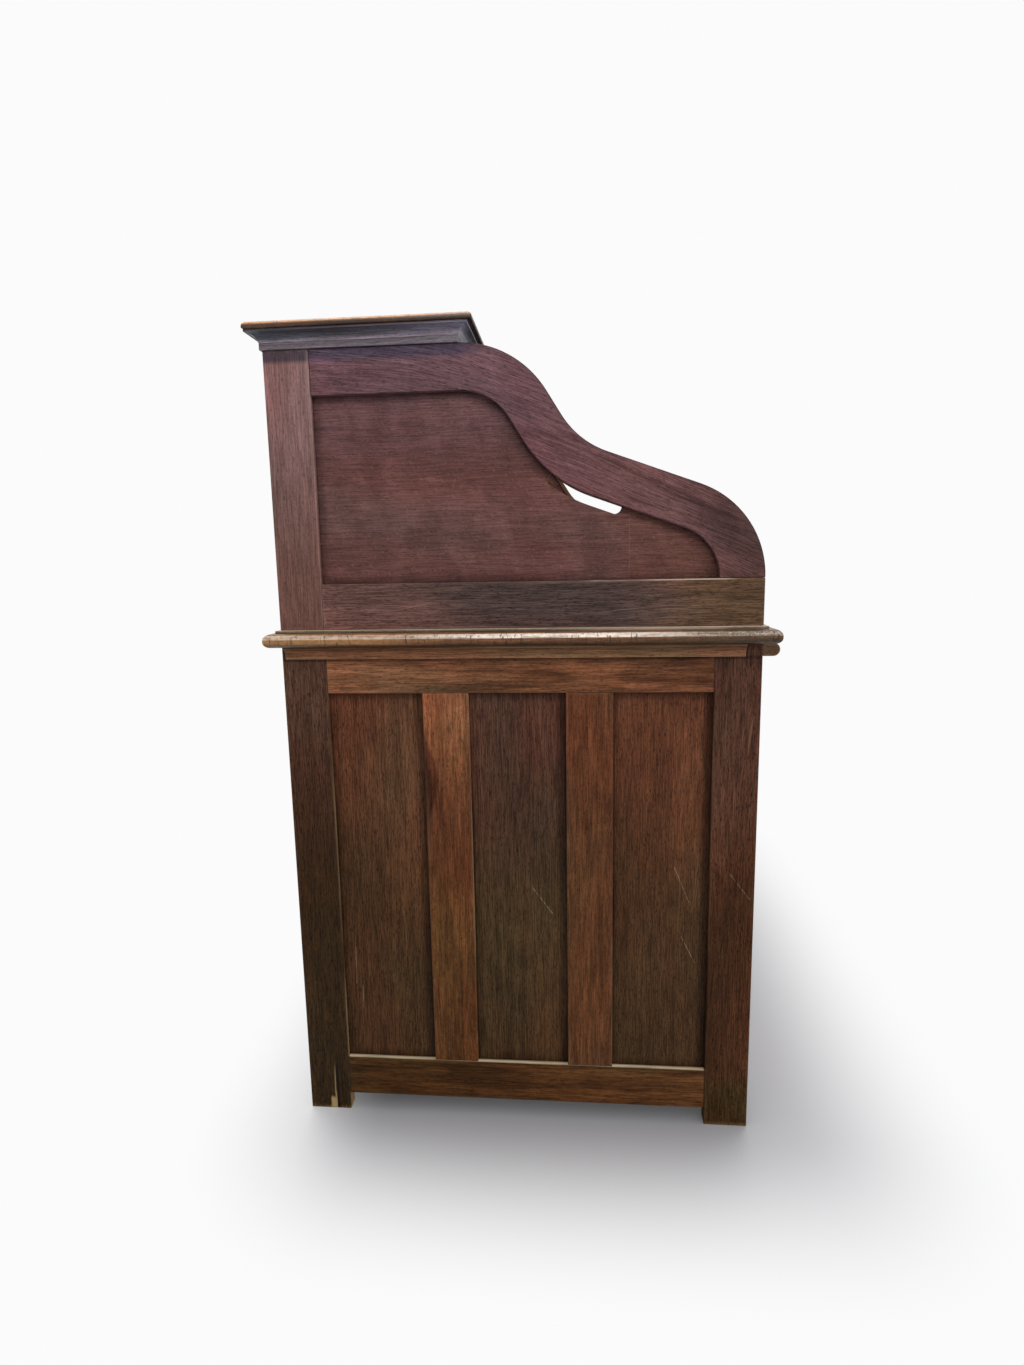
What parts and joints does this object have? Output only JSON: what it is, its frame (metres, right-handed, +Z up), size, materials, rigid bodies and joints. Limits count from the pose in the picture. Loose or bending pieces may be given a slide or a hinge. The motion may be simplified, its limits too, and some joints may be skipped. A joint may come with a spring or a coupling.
{
  "type": "roll-top desk",
  "caption": "Oak roll-top pedestal desk with framed panelled ends, S-shaped upper ends, sliding tambour curtain, drawers, pull-out slides and pigeonholes.",
  "frame": {"origin": "on the floor, under the middle of the desk", "axes": "+Z up, +X to the sitter's right, the front faces -Y"},
  "size_m": [1.22, 0.7434, 1.2139],
  "materials": {
    "base_frame_oak": "stained, satin, worn edges",
    "base_panel_oak": "stained dark, satin",
    "base_inner_oak": "stained, dull",
    "drawer_oak": "stained front, pale sides",
    "pull_oak": "carved, stained, satin",
    "writing_top_oak": "stained, satin, rubbed edge",
    "moulding_oak": "stained dark, satin",
    "upper_frame_oak": "stained reddish, satin",
    "upper_panel_oak": "stained reddish, satin",
    "upper_back_oak": "stained, dull",
    "top_oak": "stained dark, polished",
    "pigeonhole_oak": "stained, satin",
    "tambour_oak": "stained, satin",
    "lock_brass": "tarnished"
  },
  "bodies": {
    "case": {"base_backs": "base_inner_oak", "drawer_rails": "base_inner_oak", "drawer_runners": "base_inner_oak", "end_muntins": "base_frame_oak", "end_panels": "base_panel_oak", "left_end_rails": "base_frame_oak", "left_end_stiles": "base_frame_oak", "left_inner_side": "base_inner_oak", "left_s_rail": "upper_frame_oak", "left_upper_panel": "upper_panel_oak", "pigeonhole_back": "pigeonhole_oak", "pigeonhole_partitions": "pigeonhole_oak", "pigeonhole_shelves": "pigeonhole_oak", "right_end_rails": "base_frame_oak", "right_end_stiles": "base_frame_oak", "right_inner_side": "base_inner_oak", "right_s_rail": "upper_frame_oak", "right_upper_panel": "upper_panel_oak", "tambour_tracks": "tambour_oak", "top_board": "top_oak", "top_fascia": "top_oak", "top_moulding": "top_oak", "under_top_moulding": "moulding_oak", "upper_back_frame": "upper_back_oak", "upper_back_panels": "upper_back_oak", "upper_bottom_rails": "upper_frame_oak", "upper_plinth": "moulding_oak", "upper_stiles": "upper_frame_oak", "writing_top": "writing_top_oak"},
    "left_top_drawer_box": {"left_top_drawer": "drawer_oak", "left_top_pull": "pull_oak"},
    "left_middle_drawer_box": {"left_middle_drawer": "drawer_oak", "left_middle_pull": "pull_oak"},
    "left_bottom_drawer_box": {"left_bottom_drawer": "drawer_oak", "left_bottom_pull": "pull_oak"},
    "left_writing_slide": {"left_slide": "writing_top_oak"},
    "right_top_drawer_box": {"right_top_drawer": "drawer_oak", "right_top_pull": "pull_oak"},
    "right_middle_drawer_box": {"right_middle_drawer": "drawer_oak", "right_middle_pull": "pull_oak"},
    "right_bottom_drawer_box": {"right_bottom_drawer": "drawer_oak", "right_bottom_pull": "pull_oak"},
    "right_writing_slide": {"right_slide": "writing_top_oak"},
    "centre_drawer_box": {"centre_drawer": "drawer_oak", "centre_pull": "pull_oak"},
    "curtain_lead": {"tambour_lead_rail": "tambour_oak", "tambour_lifts": "tambour_oak", "tambour_lock": "lock_brass"},
    "curtain_01": {"tambour_slats_01": "tambour_oak"},
    "curtain_02": {"tambour_slats_02": "tambour_oak"},
    "curtain_03": {"tambour_slats_03": "tambour_oak"},
    "curtain_04": {"tambour_slats_04": "tambour_oak"},
    "curtain_05": {"tambour_slats_05": "tambour_oak"},
    "curtain_06": {"tambour_slats_06": "tambour_oak"},
    "curtain_07": {"tambour_slats_07": "tambour_oak"},
    "curtain_08": {"tambour_slats_08": "tambour_oak"},
    "curtain_09": {"tambour_slats_09": "tambour_oak"},
    "curtain_10": {"tambour_slats_10": "tambour_oak"},
    "curtain_11": {"tambour_slats_11": "tambour_oak"},
    "curtain_12": {"tambour_slats_12": "tambour_oak"}
  },
  "joints": [
    {"name": "left_top_drawer_slide", "type": "slide", "parent": "case", "child": "left_top_drawer_box", "axis": [0, -1, 0], "range_m": [0, 0.42]},
    {"name": "left_middle_drawer_slide", "type": "slide", "parent": "case", "child": "left_middle_drawer_box", "axis": [0, -1, 0], "range_m": [0, 0.42]},
    {"name": "left_bottom_drawer_slide", "type": "slide", "parent": "case", "child": "left_bottom_drawer_box", "axis": [0, -1, 0], "range_m": [0, 0.42]},
    {"name": "left_slide_pull_out", "type": "slide", "parent": "case", "child": "left_writing_slide", "axis": [0, -1, 0], "range_m": [0, 0.35]},
    {"name": "right_top_drawer_slide", "type": "slide", "parent": "case", "child": "right_top_drawer_box", "axis": [0, -1, 0], "range_m": [0, 0.42]},
    {"name": "right_middle_drawer_slide", "type": "slide", "parent": "case", "child": "right_middle_drawer_box", "axis": [0, -1, 0], "range_m": [0, 0.42]},
    {"name": "right_bottom_drawer_slide", "type": "slide", "parent": "case", "child": "right_bottom_drawer_box", "axis": [0, -1, 0], "range_m": [0, 0.42]},
    {"name": "right_slide_pull_out", "type": "slide", "parent": "case", "child": "right_writing_slide", "axis": [0, -1, 0], "range_m": [0, 0.35]},
    {"name": "centre_drawer_slide", "type": "slide", "parent": "case", "child": "centre_drawer_box", "axis": [0, -1, 0], "range_m": [0, 0.4]},
    {"name": "curtain_roll", "type": "hinge", "parent": "case", "child": "curtain_lead", "pos_m": [0, 0.08273, 0.73537], "axis": [1, 0, 0], "range_deg": [0, 73.87]},
    {"name": "curtain_roll_01", "type": "hinge", "parent": "case", "child": "curtain_01", "pos_m": [0, 0.0491, 0.77465], "axis": [1, 0, 0], "range_deg": [0, 83.36], "deforming": ["tambour_slats_01"]},
    {"name": "curtain_roll_02", "type": "hinge", "parent": "case", "child": "curtain_02", "pos_m": [0, 0.14777, 0.60772], "axis": [1, 0, 0], "range_deg": [0, 56.31], "deforming": ["tambour_slats_02"]},
    {"name": "curtain_roll_03", "type": "hinge", "parent": "case", "child": "curtain_03", "pos_m": [0, 0.37483, 0.1136], "axis": [1, 0, 0], "range_deg": [0, 28.43], "deforming": ["tambour_slats_03"]},
    {"name": "curtain_roll_04", "type": "hinge", "parent": "case", "child": "curtain_04", "pos_m": [0, 0.44985, -0.0659], "axis": [1, 0, 0], "range_deg": [0, 24.07], "deforming": ["tambour_slats_04"]},
    {"name": "curtain_roll_05", "type": "hinge", "parent": "case", "child": "curtain_05", "pos_m": [0, 0.22497, 0.53809], "axis": [1, 0, 0], "range_deg": [0, 48.92], "deforming": ["tambour_slats_05"]},
    {"name": "curtain_roll_06", "type": "hinge", "parent": "case", "child": "curtain_06", "pos_m": [0, 0.15247, 0.762], "axis": [1, 0, 0], "range_deg": [0, 76.61], "deforming": ["tambour_slats_06"]},
    {"name": "curtain_roll_07", "type": "hinge", "parent": "case", "child": "curtain_07", "pos_m": [0, 0.1238, 0.87296], "axis": [1, 0, 0], "range_deg": [0, 103.27], "deforming": ["tambour_slats_07"]},
    {"name": "curtain_roll_08", "type": "hinge", "parent": "case", "child": "curtain_08", "pos_m": [0, 0.11612, 0.91714], "axis": [1, 0, 0], "range_deg": [0, 118.93], "deforming": ["tambour_slats_08"]},
    {"name": "curtain_roll_09", "type": "hinge", "parent": "case", "child": "curtain_09", "pos_m": [0, 0.11653, 0.9642], "axis": [1, 0, 0], "range_deg": [0, 141.33], "deforming": ["tambour_slats_09"]},
    {"name": "curtain_roll_10", "type": "hinge", "parent": "case", "child": "curtain_10", "pos_m": [0, 0.11657, 0.96875], "axis": [1, 0, 0], "range_deg": [0, 143.87], "deforming": ["tambour_slats_10"]},
    {"name": "curtain_roll_11", "type": "hinge", "parent": "case", "child": "curtain_11", "pos_m": [0, 0.08804, 0.92616], "axis": [1, 0, 0], "range_deg": [0, 118.72], "deforming": ["tambour_slats_11"]},
    {"name": "curtain_roll_12", "type": "hinge", "parent": "case", "child": "curtain_12", "pos_m": [0, 0.03773, 0.87987], "axis": [1, 0, 0], "range_deg": [0, 94.01], "deforming": ["tambour_slats_12"]}
  ],
  "couplings": [
    {"joint": "curtain_roll_01", "follows": "curtain_roll", "ratio": 1.1257},
    {"joint": "curtain_roll_02", "follows": "curtain_roll", "ratio": 0.75942},
    {"joint": "curtain_roll_03", "follows": "curtain_roll", "ratio": 0.3821},
    {"joint": "curtain_roll_04", "follows": "curtain_roll", "ratio": 0.32312},
    {"joint": "curtain_roll_05", "follows": "curtain_roll", "ratio": 0.65947},
    {"joint": "curtain_roll_06", "follows": "curtain_roll", "ratio": 1.0343},
    {"joint": "curtain_roll_07", "follows": "curtain_roll", "ratio": 1.3951},
    {"joint": "curtain_roll_08", "follows": "curtain_roll", "ratio": 1.6071},
    {"joint": "curtain_roll_09", "follows": "curtain_roll", "ratio": 1.9103},
    {"joint": "curtain_roll_10", "follows": "curtain_roll", "ratio": 1.9447},
    {"joint": "curtain_roll_11", "follows": "curtain_roll", "ratio": 1.6043},
    {"joint": "curtain_roll_12", "follows": "curtain_roll", "ratio": 1.2698}
  ]
}
